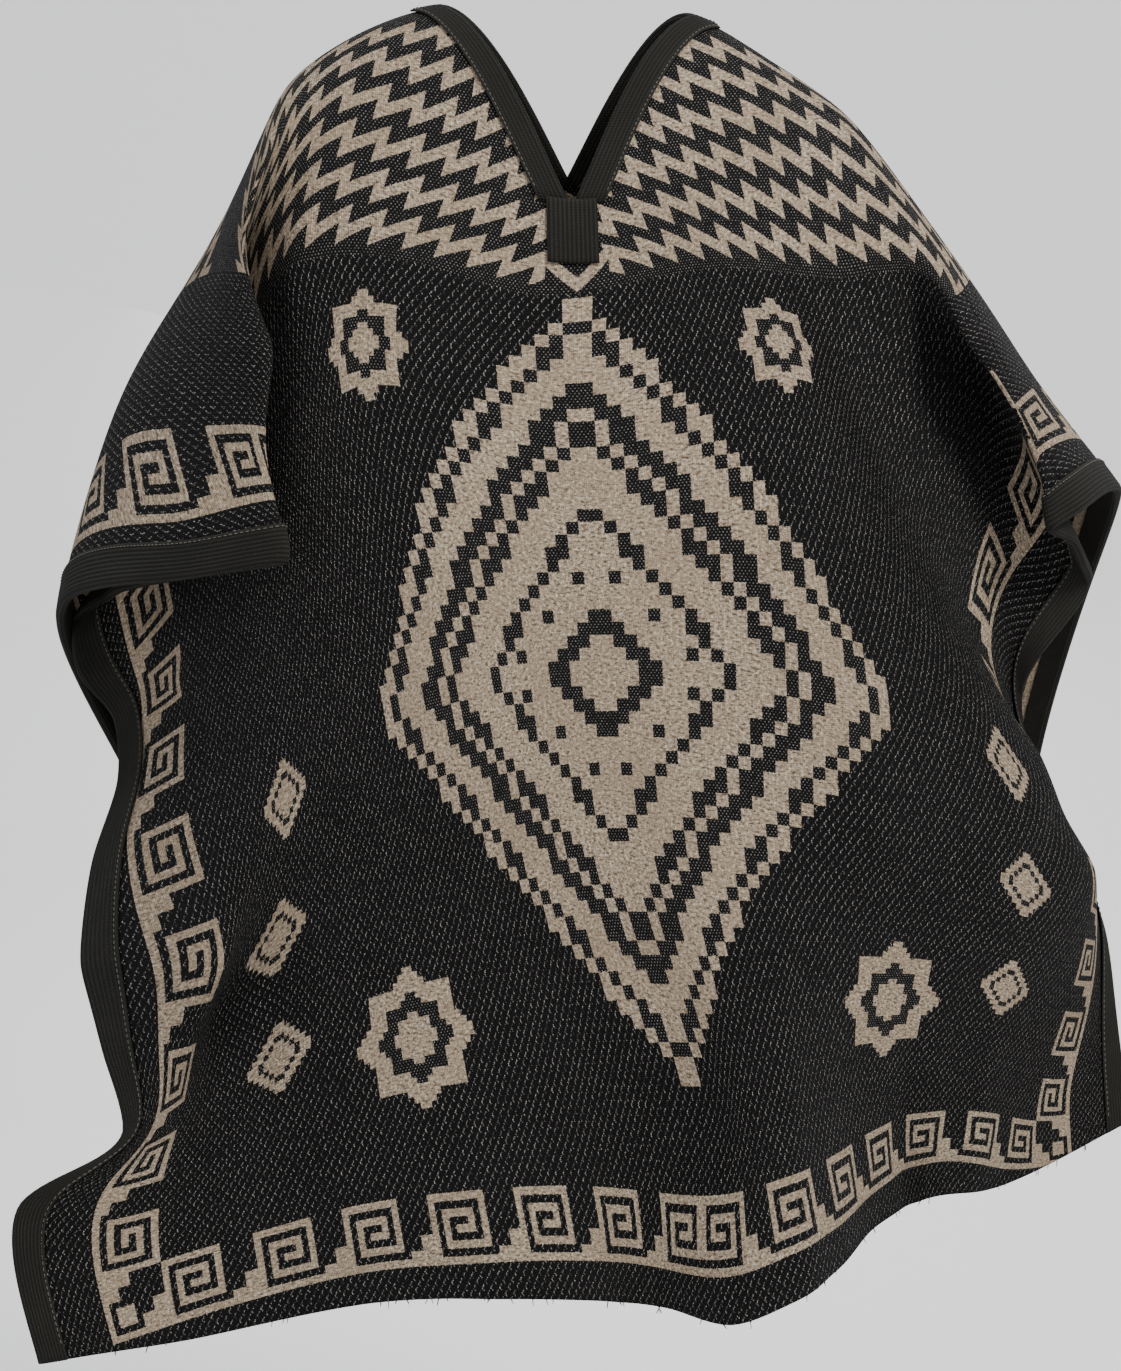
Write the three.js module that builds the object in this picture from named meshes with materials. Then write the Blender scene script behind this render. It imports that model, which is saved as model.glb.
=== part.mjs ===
// Poncho: one rectangle of heavy double cloth with a V slit for the head,
// worn open at the sides over raised arms. Millimetres, +Z up, the wearer
// faces -Y. The origin is between the two neck points of the shoulder fold.
import * as THREE from "three";

// the cloth as cut
const clothWidth = 1060;
const clothLength = 900;
const wall = 3;
const seamGap = 0.3;

// the neck slit
const neckHalf = 88;
const slitDepth = 150;
const neckTapeRow = 19;
const patchHalf = 16.5;
const patchHeight = 33;

// the tape that binds the slit and the two sides
const tape = 1.2;
const sideTapeRow = 24;
const tapeTurn = 2.4;
const tapeSlack = 0.1;

// how finely the cloth is divided
const halfColumns = 20;
const slitRows = 6;
const frontRows = 25;
const backRows = 19;

// Each row says where one place of the cloth lies. u is the distance from the
// cloth's middle line and v the distance down from the shoulder fold, with the
// front positive. x, y and z are where that place is when the garment is worn.
const shoulders = [
  { place: "neck left", u: -88, v: 0, x: -92, y: 0, z: 4 },
  { place: "neck right", u: 88, v: 0, x: 92, y: 0, z: -4 },
  { place: "slit foot front", u: 0, v: 150, x: 0, y: -90, z: -150 },
  { place: "slit foot back", u: 0, v: -150, x: 5, y: 70, z: -115 },
  { place: "shoulder left", u: -156, v: 0, x: -155, y: 0, z: -20 },
  { place: "point left", u: -213, v: -5, x: -200, y: 0, z: -55 },
  { place: "shoulder right", u: 147, v: 0, x: 145, y: 0, z: -35 },
  { place: "upper arm right", u: 218, v: -10, x: 205, y: 5, z: -75 },
];

// the fold of cloth that hangs forward over the left arm
const leftArm = [
  { place: "fold top left", u: -255, v: 15, x: -210, y: -80, z: -105 },
  { place: "fold mid left", u: -390, v: -5, x: -205, y: -142, z: -240 },
  { place: "fold mid left over", u: -390, v: -32, x: -222, y: -138, z: -238 },
  { place: "fold mid left under", u: -390, v: 24, x: -212, y: -118, z: -242 },
  { place: "fold foot left", u: -530, v: -25, x: -195, y: -190, z: -380 },
  { place: "fold foot left over", u: -530, v: -50, x: -212, y: -186, z: -382 },
  { place: "fold foot left under", u: -530, v: 0, x: -205, y: -165, z: -384 },
  { place: "arm top left", u: -330, v: -75, x: -255, y: 0, z: -180 },
  { place: "arm mid left", u: -438, v: -125, x: -300, y: -35, z: -290 },
  { place: "tip left", u: -530, v: -210, x: -350, y: -70, z: -410 },
  { place: "valley mid left", u: -395, v: 105, x: -260, y: -30, z: -260 },
  { place: "sleeve low left", u: -480, v: -110, x: -270, y: -130, z: -345 },
  { place: "sleeve high left", u: -350, v: -25, x: -230, y: -110, z: -200 },
  { place: "under low left", u: -480, v: 45, x: -255, y: -108, z: -345 },
  { place: "valley high left", u: -300, v: 75, x: -230, y: -30, z: -170 },
  { place: "valley foot left", u: -530, v: 115, x: -328, y: -22, z: -415 },
  { place: "valley foot left under", u: -530, v: 92, x: -318, y: -48, z: -408 },
  { place: "valley foot left over", u: -530, v: 145, x: -350, y: -16, z: -428 },
];

const rightArm = [
  { place: "fold top right", u: 245, v: 50, x: 200, y: -60, z: -140 },
  { place: "fold mid right", u: 390, v: 35, x: 268, y: -125, z: -235 },
  { place: "fold mid right over", u: 390, v: 8, x: 283, y: -118, z: -233 },
  { place: "fold mid right under", u: 390, v: 62, x: 282, y: -102, z: -240 },
  { place: "valley mid right", u: 380, v: 120, x: 300, y: -35, z: -255 },
  { place: "fold foot right", u: 530, v: 25, x: 330, y: -116, z: -364 },
  { place: "fold foot right over", u: 530, v: 0, x: 352, y: -106, z: -352 },
  { place: "fold foot right under", u: 530, v: 50, x: 352, y: -92, z: -372 },
  { place: "underfold right", u: 530, v: 80, x: 366, y: -68, z: -390 },
  { place: "arm mid right", u: 430, v: -90, x: 345, y: 10, z: -260 },
  { place: "tip right", u: 530, v: -125, x: 410, y: 15, z: -340 },
];

const frontBody = [
  { place: "breast", u: 0, v: 320, x: 5, y: -140, z: -310 },
  { place: "breast left", u: -160, v: 260, x: -145, y: -120, z: -255 },
  { place: "breast right", u: 160, v: 260, x: 155, y: -110, z: -250 },
  { place: "belly", u: 0, v: 600, x: 30, y: -150, z: -580 },
  { place: "chest low left", u: -400, v: 260, x: -245, y: -92, z: -405 },
  { place: "chest edge left", u: -470, v: 205, x: -303, y: -8, z: -418 },
  { place: "chest mid left", u: -300, v: 190, x: -205, y: -100, z: -290 },
  { place: "strip left", u: -440, v: 590, x: -240, y: -165, z: -655 },
  { place: "strip fold left", u: -400, v: 620, x: -255, y: -105, z: -700 },
  { place: "belly left", u: -330, v: 640, x: -195, y: -135, z: -675 },
  { place: "fold low mid", u: -20, v: 760, x: 65, y: -140, z: -765 },
  { place: "ridge low mid", u: 40, v: 760, x: 105, y: -170, z: -760 },
  { place: "fold low right", u: 215, v: 760, x: 205, y: -95, z: -745 },
  { place: "chest mid right", u: 290, v: 190, x: 215, y: -110, z: -290 },
  { place: "chest low right", u: 400, v: 260, x: 275, y: -90, z: -415 },
  { place: "flank right", u: 440, v: 420, x: 345, y: -20, z: -540 },
  { place: "flank right low", u: 440, v: 560, x: 390, y: -10, z: -620 },
];

// the free left edge, which swings out, back in and out again to its corner
const leftSide = [
  { place: "side left 1", u: -530, v: 205, x: -350, y: -24, z: -466 },
  { place: "side left 2", u: -530, v: 325, x: -325, y: -10, z: -505 },
  { place: "side left 3", u: -530, v: 400, x: -325, y: 5, z: -555 },
  { place: "side left 4", u: -530, v: 475, x: -340, y: -20, z: -605 },
  { place: "side left 5", u: -530, v: 565, x: -345, y: -60, z: -675 },
  { place: "side left 6", u: -530, v: 650, x: -325, y: -92, z: -738 },
  { place: "side left 7", u: -530, v: 690, x: -310, y: -120, z: -782 },
  { place: "side left 8", u: -530, v: 780, x: -378, y: -150, z: -822 },
  { place: "corner left", u: -530, v: 900, x: -365, y: -165, z: -930 },
];

const rightSide = [
  { place: "corner right", u: 530, v: 900, x: 420, y: 0, z: -815 },
  { place: "lip under right", u: 530, v: 110, x: 380, y: -30, z: -405 },
  { place: "side right 1", u: 530, v: 175, x: 345, y: -40, z: -450 },
  { place: "side right 2", u: 530, v: 240, x: 332, y: -22, z: -486 },
  { place: "side right 2b", u: 530, v: 350, x: 346, y: 18, z: -540 },
  { place: "side right 3", u: 530, v: 480, x: 352, y: 75, z: -600 },
  { place: "side right 4", u: 530, v: 700, x: 420, y: 60, z: -705 },
];

const frontHem = [
  { place: "hem l1", u: -398, v: 900, x: -265, y: -150, z: -920 },
  { place: "hem l2", u: -273, v: 900, x: -140, y: -170, z: -890 },
  { place: "hem l3", u: -148, v: 900, x: -20, y: -185, z: -885 },
  { place: "hem l4", u: -23, v: 900, x: 70, y: -150, z: -905 },
  { place: "hem r0", u: 30, v: 900, x: 105, y: -185, z: -905 },
  { place: "hem r1", u: 86, v: 900, x: 150, y: -175, z: -890 },
  { place: "hem r2", u: 148, v: 900, x: 190, y: -130, z: -880 },
  { place: "hem r3", u: 210, v: 900, x: 215, y: -85, z: -870 },
  { place: "hem r4", u: 273, v: 900, x: 245, y: -60, z: -860 },
  { place: "hem r5", u: 335, v: 900, x: 270, y: -65, z: -850 },
  { place: "hem r6", u: 398, v: 900, x: 315, y: -45, z: -850 },
];

const back = [
  { place: "back high", u: 0, v: -320, x: 5, y: 120, z: -300 },
  { place: "back mid", u: 0, v: -600, x: 10, y: 150, z: -605 },
  { place: "back hem", u: 0, v: -900, x: 20, y: 200, z: -915 },
  { place: "back hem left a", u: -135, v: -900, x: -70, y: 145, z: -905 },
  { place: "back hem left b", u: -270, v: -900, x: -165, y: 200, z: -920 },
  { place: "back hem left c", u: -400, v: -900, x: -255, y: 120, z: -900 },
  { place: "back hem right a", u: 135, v: -900, x: 105, y: 150, z: -895 },
  { place: "back hem right b", u: 270, v: -900, x: 205, y: 205, z: -895 },
  { place: "back hem right c", u: 400, v: -900, x: 285, y: 130, z: -850 },
  { place: "back corner left", u: -530, v: -900, x: -295, y: 30, z: -885 },
  { place: "back corner right", u: 530, v: -900, x: 355, y: 70, z: -805 },
  { place: "back side left", u: -530, v: -540, x: -295, y: 40, z: -615 },
  { place: "back side right", u: 530, v: -500, x: 378, y: 135, z: -555 },
];

// Soft folds that run down from the shoulders and arms, raised or sunk along
// a line of the cloth. reach is the half width and rise the height.
const softFolds = [
  { place: "breast left", u: -95, v: 210, toU: -150, toV: 520, reach: 60, rise: 6, toRise: 10 },
  { place: "breast right", u: 120, v: 200, toU: 190, toV: 560, reach: 55, rise: 5, toRise: 12 },
  { place: "waist", u: -20, v: 420, toU: 20, toV: 760, reach: 60, rise: 0, toRise: -10 },
  { place: "back left", u: -120, v: -240, toU: -200, toV: -900, reach: 60, rise: 6, toRise: 10 },
  { place: "back right", u: 120, v: -260, toU: 210, toV: -900, reach: 60, rise: 6, toRise: 10 },
  { place: "back middle", u: 0, v: -420, toU: -20, toV: -820, reach: 70, rise: 0, toRise: -8 },
];

const guides = [
  ...shoulders,
  ...leftArm,
  ...rightArm,
  ...frontBody,
  ...leftSide,
  ...rightSide,
  ...frontHem,
  ...back,
];

// A thin plate bends through all the guides, as heavy cloth does between
// the places that carry it.
const unit = 100;
const give = 0.02;

function plateBend(du, dv) {
  const square = (du * du + dv * dv) / (unit * unit);
  return square > 1e-12 ? square * Math.log(square) : 0;
}

function solvePlate() {
  const count = guides.length;
  const size = count + 3;
  const lines = [];
  for (let a = 0; a < count; a++) {
    const g = guides[a];
    const line = guides.map((h) => plateBend(g.u - h.u, g.v - h.v));
    line[a] += give;
    line.push(1, g.u / unit, g.v / unit, g.x, g.y, g.z);
    lines.push(line);
  }
  for (let k = 0; k < 3; k++) {
    const line = guides.map((g) => [1, g.u / unit, g.v / unit][k]);
    line.push(0, 0, 0, 0, 0, 0);
    lines.push(line);
  }
  for (let k = 0; k < size; k++) {
    let pivot = k;
    for (let r = k + 1; r < size; r++) {
      if (Math.abs(lines[r][k]) > Math.abs(lines[pivot][k])) {
        pivot = r;
      }
    }
    [lines[k], lines[pivot]] = [lines[pivot], lines[k]];
    for (let r = 0; r < size; r++) {
      const share = r === k ? 0 : lines[r][k] / lines[k][k];
      for (let c = k; share !== 0 && c < size + 3; c++) {
        lines[r][c] -= share * lines[k][c];
      }
    }
  }
  return lines.map((line, k) => line.slice(size).map((value) => value / line[k]));
}

const weights = solvePlate();

function onPlate(u, v) {
  const terms = guides.map((g) => plateBend(u - g.u, v - g.v));
  terms.push(1, u / unit, v / unit);
  const place = [0, 0, 0];
  for (let k = 0; k < terms.length; k++) {
    for (let axis = 0; axis < 3; axis++) {
      place[axis] += terms[k] * weights[k][axis];
    }
  }
  return new THREE.Vector3(...place);
}

// the plate's outward direction at one place of the cloth
function outward(u, v) {
  const step = 4;
  const across = onPlate(u + step, v).sub(onPlate(u - step, v));
  const down = onPlate(u, v + step).sub(onPlate(u, v - step));
  return down.cross(across).normalize();
}

function foldHeight(u, v) {
  let height = 0;
  for (const fold of softFolds) {
    const du = fold.toU - fold.u;
    const dv = fold.toV - fold.v;
    const length = Math.hypot(du, dv);
    const along = ((u - fold.u) * du + (v - fold.v) * dv) / length;
    const aside = ((u - fold.u) * dv - (v - fold.v) * du) / length;
    const share = Math.min(1, Math.max(0, along / length));
    const past = Math.max(0, -along, along - length);
    const rise = fold.rise + (fold.toRise - fold.rise) * share;
    height += rise * Math.exp(-((aside * aside + past * past) / (fold.reach * fold.reach)));
  }
  return height;
}

function clothPlace(u, v) {
  return onPlate(u, v).addScaledVector(outward(u, v), foldHeight(u, v));
}

// distances of the rows of cells from the shoulder fold
function rowPlaces(side, rowsBelow) {
  const places = [];
  for (let j = 0; j <= slitRows; j++) {
    places.push((side * slitDepth * j) / slitRows);
  }
  const start = side > 0 ? slitDepth + patchHeight : slitDepth;
  if (side > 0) {
    places.push(slitDepth + patchHeight / 2, start);
  }
  for (let j = 1; j <= rowsBelow; j++) {
    places.push(side * (start + ((clothLength - start) * j) / rowsBelow));
  }
  return places;
}

const rowsDown = [...rowPlaces(-1, backRows).slice(1).reverse(), ...rowPlaces(1, frontRows)];
const foldRow = rowsDown.indexOf(0);
const columns = 2 * halfColumns + 2;

// distance of a column from the middle line; the first one ends under the
// neck tape or the patch and the last one under the side tape
function columnPlace(i, v) {
  const depth = Math.abs(v);
  const inner = neckHalf * Math.max(0, 1 - depth / slitDepth);
  const first = inner + patchHalf + (neckTapeRow - patchHalf) * Math.max(0, 1 - depth / slitDepth);
  const last = clothWidth / 2 - sideTapeRow;
  if (i === 0) {
    return inner;
  }
  if (i === halfColumns) {
    return clothWidth / 2;
  }
  return first + ((last - first) * (i - 1)) / (halfColumns - 2);
}

// the middle surface of the cloth: its places and outward directions
const places = [];
const spots = [];
for (const v of rowsDown) {
  for (let i = halfColumns; i >= 0; i--) {
    spots.push([-columnPlace(i, v), v]);
  }
  for (let i = 0; i <= halfColumns; i++) {
    spots.push([columnPlace(i, v), v]);
  }
}
for (const [u, v] of spots) {
  places.push(clothPlace(u, v));
}
const directions = places.map(() => new THREE.Vector3());

function cellAt(i, j) {
  const a = j * columns + i;
  return [a, a + 1, a + columns + 1, a + columns];
}

for (let j = 0; j + 1 < rowsDown.length; j++) {
  for (let i = 0; i + 1 < columns; i++) {
    if (i === halfColumns) {
      continue;
    }
    const cell = cellAt(i, j);
    const acrossCell = places[cell[2]].clone().sub(places[cell[0]]);
    const otherWay = places[cell[3]].clone().sub(places[cell[1]]);
    const facing = otherWay.cross(acrossCell).normalize();
    cell.forEach((k) => directions[k].add(facing));
  }
}
for (let j = 0; j < rowsDown.length; j++) {
  if (Math.abs(rowsDown[j]) >= slitDepth) {
    const left = directions[j * columns + halfColumns];
    const right = directions[j * columns + halfColumns + 1];
    const both = left.clone().add(right);
    left.copy(both);
    right.copy(both);
  }
}
directions.forEach((d) => d.normalize());

// a place on the middle surface between two rows, moved out by a distance
function between(i, j, share, out) {
  const a = j * columns + i;
  const b = share > 0 ? a + columns : a;
  const place = places[a].clone().lerp(places[b], share);
  const way = directions[a].clone().lerp(directions[b], share).normalize();
  return place.addScaledVector(way, out);
}

// collects triangles and gives a closed body
function makeBody(name, colour, roughness) {
  const points = [];
  const faces = [];
  return {
    point(p) {
      points.push(p);
      return points.length - 1;
    },
    quad(a, b, c, d) {
      faces.push(a, b, c, a, c, d);
    },
    quadTurned(a, b, c, d) {
      faces.push(b, c, d, b, d, a);
    },
    finish() {
      const geometry = new THREE.BufferGeometry();
      const flat = points.flatMap((p) => [p.x, p.y, p.z]);
      geometry.setAttribute("position", new THREE.Float32BufferAttribute(flat, 3));
      geometry.setIndex(faces);
      geometry.computeVertexNormals();
      const material = new THREE.MeshStandardMaterial({ color: colour, roughness, metalness: 0 });
      material.name = name;
      const mesh = new THREE.Mesh(geometry, material);
      mesh.name = name;
      return mesh;
    },
  };
}

// A sheet of cells between two columns and two rows, with a thickness. Rows
// are given as [row, share of the way to the next one].
function slab(name, colour, rows, firstColumn, lastColumn, low, high) {
  const body = makeBody(name, colour, 0.95);
  const ids = new Map();
  const keyOf = (r, i, top) => `${r} ${joinedColumn(i, rows[r])} ${top}`;
  const get = (r, i, top) => {
    const key = keyOf(r, i, top);
    if (!ids.has(key)) {
      const [row, share] = rows[r];
      ids.set(key, body.point(between(i, row, share, top ? high : low)));
    }
    return ids.get(key);
  };
  const solidCell = (i) => i >= firstColumn && i < lastColumn && i !== halfColumns;
  for (let r = 0; r + 1 < rows.length; r++) {
    for (let i = firstColumn; i < lastColumn; i++) {
      if (i === halfColumns) {
        continue;
      }
      body.quad(get(r, i, 1), get(r + 1, i, 1), get(r + 1, i + 1, 1), get(r, i + 1, 1));
      body.quad(get(r, i, 0), get(r, i + 1, 0), get(r + 1, i + 1, 0), get(r + 1, i, 0));
    }
  }
  const rim = (r, i, s, k) => {
    body.quad(get(r, i, 1), get(s, k, 1), get(s, k, 0), get(r, i, 0));
  };
  for (let r = 0; r + 1 < rows.length; r++) {
    rim(r + 1, firstColumn, r, firstColumn);
    rim(r, lastColumn, r + 1, lastColumn);
    const isOpen = (k) => joinedColumn(halfColumns + 1, rows[k]) !== halfColumns;
    if ((isOpen(r) || isOpen(r + 1)) && firstColumn <= halfColumns && lastColumn > halfColumns) {
      rim(r, halfColumns, r + 1, halfColumns);
      rim(r + 1, halfColumns + 1, r, halfColumns + 1);
    }
  }
  for (let i = firstColumn; i < lastColumn; i++) {
    if (solidCell(i)) {
      rim(0, i, 0, i + 1);
      rim(rows.length - 1, i + 1, rows.length - 1, i);
    }
  }
  return body.finish();
}

// the two middle columns are one column from the foot of the slit on
function joinedColumn(i, [row, share]) {
  const v = rowsDown[row] + (share > 0 ? share * (rowsDown[row + 1] - rowsDown[row]) : 0);
  const open = Math.abs(v) < slitDepth - 1e-6;
  return !open && i === halfColumns + 1 ? halfColumns : i;
}

// Tape folded over an edge of the cloth, as a channel. edge is the column at
// the cloth's edge and inner the next one in.
function channel(name, colour, rows, edge, inner) {
  const body = makeBody(name, colour, 0.85);
  const near = wall / 2 + seamGap + tapeSlack;
  const far = near + tape;
  const turnNear = 3 * seamGap;
  const turnFar = tapeTurn;
  const sections = rows.map(([row, share]) => {
    const edgePlace = between(edge, row, share, 0);
    const away = edgePlace.clone().sub(between(inner, row, share, 0)).normalize();
    const moved = (column, out, beyond) => {
      return between(column, row, share, out).addScaledVector(away, beyond);
    };
    return [
      moved(inner, far, 0),
      moved(edge, far, turnFar),
      moved(edge, -far, turnFar),
      moved(inner, -far, 0),
      moved(inner, -near, 0),
      moved(edge, -near, turnNear),
      moved(edge, near, turnNear),
      moved(inner, near, 0),
    ].map((p) => body.point(p));
  });
  const flip = edge < inner;
  const quad = (a, b, c, d) => (flip ? body.quad(a, b, c, d) : body.quad(d, c, b, a));
  const turned = (a, b, c, d) => (flip ? body.quadTurned(a, b, c, d) : body.quadTurned(d, c, b, a));
  for (let r = 0; r + 1 < sections.length; r++) {
    const a = sections[r];
    const b = sections[r + 1];
    for (let k = 0; k < 8; k++) {
      const n = (k + 1) % 8;
      const put = [0, 1, 4].includes(k) ? turned : quad;
      put(a[k], a[n], b[n], b[k]);
    }
  }
  const cap = (s, back) => {
    const parts = [[0, 1, 6, 7], [1, 2, 5, 6], [2, 3, 4, 5]];
    for (const [a, b, c, d] of parts) {
      if (back) {
        quad(s[d], s[c], s[b], s[a]);
      } else {
        quad(s[a], s[b], s[c], s[d]);
      }
    }
  };
  cap(sections[0], true);
  cap(sections[sections.length - 1], false);
  return body.finish();
}

const clothColour = 0x1c1b1a;
const tapeColour = 0x2b2a26;
const lastRow = rowsDown.length - 1;
const hairBelow = (0.7 * seamGap) / rowsDown[foldRow + 1];
const whole = (from, to) => {
  const rows = [];
  for (let r = from; r <= to; r++) {
    rows.push([r, 0]);
  }
  return rows;
};
const frontPlaces = [[foldRow, hairBelow], ...whole(foldRow + 1, lastRow)];
const backPlaces = [...whole(0, foldRow - 1), [foldRow - 1, 1 - hairBelow]];
const slitFoot = foldRow + slitRows;
const backFoot = foldRow - slitRows;
const neckPlaces = [[backFoot, 0.22], ...whole(backFoot + 1, slitFoot - 1), [slitFoot - 1, 0.78]];
const patchLow = wall / 2 + tapeSlack + 2 * seamGap + tape;

const group = new THREE.Group();
group.name = "poncho";
group.add(slab("front_panel", clothColour, frontPlaces, 0, columns - 1, -wall / 2, wall / 2));
group.add(slab("back_panel", clothColour, backPlaces, 0, columns - 1, -wall / 2, wall / 2));
group.add(channel("side_band_left", tapeColour, whole(0, lastRow), 0, 1));
group.add(channel("side_band_right", tapeColour, whole(0, lastRow), columns - 1, columns - 2));
group.add(channel("neck_band_left", tapeColour, neckPlaces, halfColumns, halfColumns - 1));
group.add(channel("neck_band_right", tapeColour, neckPlaces, halfColumns + 1, halfColumns + 2));
const patchRows = [[slitFoot - 1, 0.7], ...whole(slitFoot, slitFoot + 2)];
group.add(slab("neck_patch", tapeColour, patchRows, halfColumns - 1, halfColumns + 2, patchLow, patchLow + tape));
export default group;
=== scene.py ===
import math
import random
import bmesh
import bpy
import numpy as np
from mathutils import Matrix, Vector


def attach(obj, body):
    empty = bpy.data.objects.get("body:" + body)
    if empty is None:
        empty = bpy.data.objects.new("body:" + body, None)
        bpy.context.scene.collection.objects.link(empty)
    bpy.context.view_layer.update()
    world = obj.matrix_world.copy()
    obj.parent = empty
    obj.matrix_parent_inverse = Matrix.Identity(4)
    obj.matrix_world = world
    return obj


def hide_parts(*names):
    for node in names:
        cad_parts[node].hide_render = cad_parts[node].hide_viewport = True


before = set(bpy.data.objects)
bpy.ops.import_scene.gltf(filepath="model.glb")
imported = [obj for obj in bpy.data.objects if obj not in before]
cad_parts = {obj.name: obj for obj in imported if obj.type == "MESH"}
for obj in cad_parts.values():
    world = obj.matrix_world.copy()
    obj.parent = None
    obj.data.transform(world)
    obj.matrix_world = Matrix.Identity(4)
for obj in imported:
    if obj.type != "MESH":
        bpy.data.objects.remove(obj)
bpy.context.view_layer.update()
random.seed(12)
mm = 0.001

# The garment is one length of cloth. A place on it is u across from the middle
# and v down from the shoulder fold, in millimetres, with the front positive.
cloth = {
    "width": 1060,
    "length": 900,
    "wall": 2.8,
    "neckHalf": 88,
    "slitDepth": 150,
    "foldGap": 0.2,
    "cell": 5.2,
    "backCell": 6.2,
    "weld": 0.02,
    "facingStep": 2.5,
}

# a slow unevenness all over the cloth, in millimetres
ripple = {"height": 0.8, "across": 41, "wander": 67, "down": 59, "slant": 120}

# where places of the cloth lie when it is worn: (u, v, x, y, z)
guides = {
    "neck left": (-88, 0, -92, 0, 4),
    "neck right": (88, 0, 92, 0, -4),
    "slit foot front": (0, 150, 0, -90, -150),
    "slit foot back": (0, -150, 5, 70, -115),
    "shoulder left": (-156, 0, -155, 0, -20),
    "point left": (-213, -5, -200, 0, -55),
    "shoulder right": (147, 0, 145, 0, -35),
    "upper arm right": (218, -10, 205, 5, -75),
    "fold top left": (-255, 15, -210, -80, -105),
    "fold mid left": (-390, -5, -205, -142, -240),
    "fold mid left over": (-390, -32, -222, -138, -238),
    "fold mid left under": (-390, 24, -212, -118, -242),
    "fold foot left": (-530, -25, -195, -190, -380),
    "fold foot left over": (-530, -50, -212, -186, -382),
    "fold foot left under": (-530, 0, -205, -165, -384),
    "arm top left": (-330, -75, -255, 0, -180),
    "arm mid left": (-438, -125, -300, -35, -290),
    "tip left": (-530, -210, -350, -70, -410),
    "valley mid left": (-395, 105, -260, -30, -260),
    "sleeve low left": (-480, -110, -270, -130, -345),
    "sleeve high left": (-350, -25, -230, -110, -200),
    "under low left": (-480, 45, -255, -108, -345),
    "valley high left": (-300, 75, -230, -30, -170),
    "valley foot left": (-530, 115, -328, -22, -415),
    "valley foot left under": (-530, 92, -318, -48, -408),
    "valley foot left over": (-530, 145, -350, -16, -428),
    "fold top right": (245, 50, 200, -60, -140),
    "fold mid right": (390, 35, 268, -125, -235),
    "fold mid right over": (390, 8, 283, -118, -233),
    "fold mid right under": (390, 62, 282, -102, -240),
    "valley mid right": (380, 120, 300, -35, -255),
    "fold foot right": (530, 25, 330, -116, -364),
    "fold foot right over": (530, 0, 352, -106, -352),
    "fold foot right under": (530, 50, 352, -92, -372),
    "underfold right": (530, 80, 366, -68, -390),
    "arm mid right": (430, -90, 345, 10, -260),
    "tip right": (530, -125, 410, 15, -340),
    "breast": (0, 320, 5, -140, -310),
    "breast left": (-160, 260, -145, -120, -255),
    "breast right": (160, 260, 155, -110, -250),
    "belly": (0, 600, 30, -150, -580),
    "chest low left": (-400, 260, -245, -92, -405),
    "chest edge left": (-470, 205, -303, -8, -418),
    "chest mid left": (-300, 190, -205, -100, -290),
    "strip left": (-440, 590, -240, -165, -655),
    "strip fold left": (-400, 620, -255, -105, -700),
    "belly left": (-330, 640, -195, -135, -675),
    "fold low mid": (-20, 760, 65, -140, -765),
    "ridge low mid": (40, 760, 105, -170, -760),
    "fold low right": (215, 760, 205, -95, -745),
    "chest mid right": (290, 190, 215, -110, -290),
    "chest low right": (400, 260, 275, -90, -415),
    "flank right": (440, 420, 345, -20, -540),
    "flank right low": (440, 560, 390, -10, -620),
    "side left 1": (-530, 205, -350, -24, -466),
    "side left 2": (-530, 325, -325, -10, -505),
    "side left 3": (-530, 400, -325, 5, -555),
    "side left 4": (-530, 475, -340, -20, -605),
    "side left 5": (-530, 565, -345, -60, -675),
    "side left 6": (-530, 650, -325, -92, -738),
    "side left 7": (-530, 690, -310, -120, -782),
    "side left 8": (-530, 780, -378, -150, -822),
    "corner left": (-530, 900, -365, -165, -930),
    "corner right": (530, 900, 420, 0, -815),
    "lip under right": (530, 110, 380, -30, -405),
    "side right 1": (530, 175, 345, -40, -450),
    "side right 2": (530, 240, 332, -22, -486),
    "side right 2b": (530, 350, 346, 18, -540),
    "side right 3": (530, 480, 352, 75, -600),
    "side right 4": (530, 700, 420, 60, -705),
    "hem l1": (-398, 900, -265, -150, -920),
    "hem l2": (-273, 900, -140, -170, -890),
    "hem l3": (-148, 900, -20, -185, -885),
    "hem l4": (-23, 900, 70, -150, -905),
    "hem r0": (30, 900, 105, -185, -905),
    "hem r1": (86, 900, 150, -175, -890),
    "hem r2": (148, 900, 190, -130, -880),
    "hem r3": (210, 900, 215, -85, -870),
    "hem r4": (273, 900, 245, -60, -860),
    "hem r5": (335, 900, 270, -65, -850),
    "hem r6": (398, 900, 315, -45, -850),
    "back high": (0, -320, 5, 120, -300),
    "back mid": (0, -600, 10, 150, -605),
    "back hem": (0, -900, 20, 200, -915),
    "back hem left a": (-135, -900, -70, 145, -905),
    "back hem left b": (-270, -900, -165, 200, -920),
    "back hem left c": (-400, -900, -255, 120, -900),
    "back hem right a": (135, -900, 105, 150, -895),
    "back hem right b": (270, -900, 205, 205, -895),
    "back hem right c": (400, -900, 285, 130, -850),
    "back corner left": (-530, -900, -295, 30, -885),
    "back corner right": (530, -900, 355, 70, -805),
    "back side left": (-530, -540, -295, 40, -615),
    "back side right": (530, -500, 378, 135, -555),}

# soft folds and creases along lines of the cloth, as (u, v, to u, to v,
# half width, height at the start, height at the end)
folds = {
    "breast left": (-95, 210, -150, 520, 60, 6, 10),
    "breast right": (120, 200, 190, 560, 55, 5, 12),
    "waist": (-20, 420, 20, 760, 60, 0, -10),
    "back left": (-120, -240, -200, -900, 60, 6, 10),
    "back right": (120, -260, 210, -900, 60, 6, 10),
    "back middle": (0, -420, -20, -820, 70, 0, -8),
}

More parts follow.
